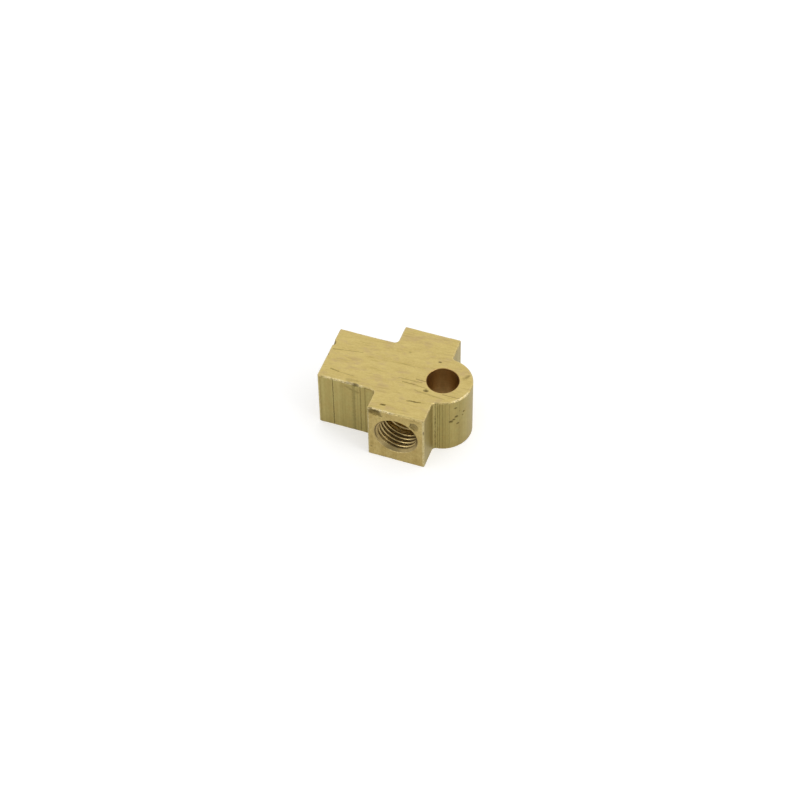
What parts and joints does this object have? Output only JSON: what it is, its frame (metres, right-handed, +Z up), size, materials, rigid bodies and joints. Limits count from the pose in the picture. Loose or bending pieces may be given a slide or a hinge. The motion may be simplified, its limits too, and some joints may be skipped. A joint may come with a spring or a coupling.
{
  "type": "female tee fitting",
  "caption": "Brass tee block with female ports on three sides and a rounded boss with a plain bolt hole, joins flared hard lines.",
  "frame": {"origin": "on the lower sawn face, under the point where the axes of the three ports cross", "axes": "+X towards the boss and its bolt hole, +Y along the run from the front port to the back port, +Z up along the bolt hole"},
  "size_m": [0.0323, 0.0246, 0.0149],
  "materials": {
    "brass": "sawn and extruded brass, bright on the sawn faces and tarnished olive on the extruded skin"
  },
  "bodies": {
    "root": {"tee_body": "brass"}
  },
  "joints": []
}
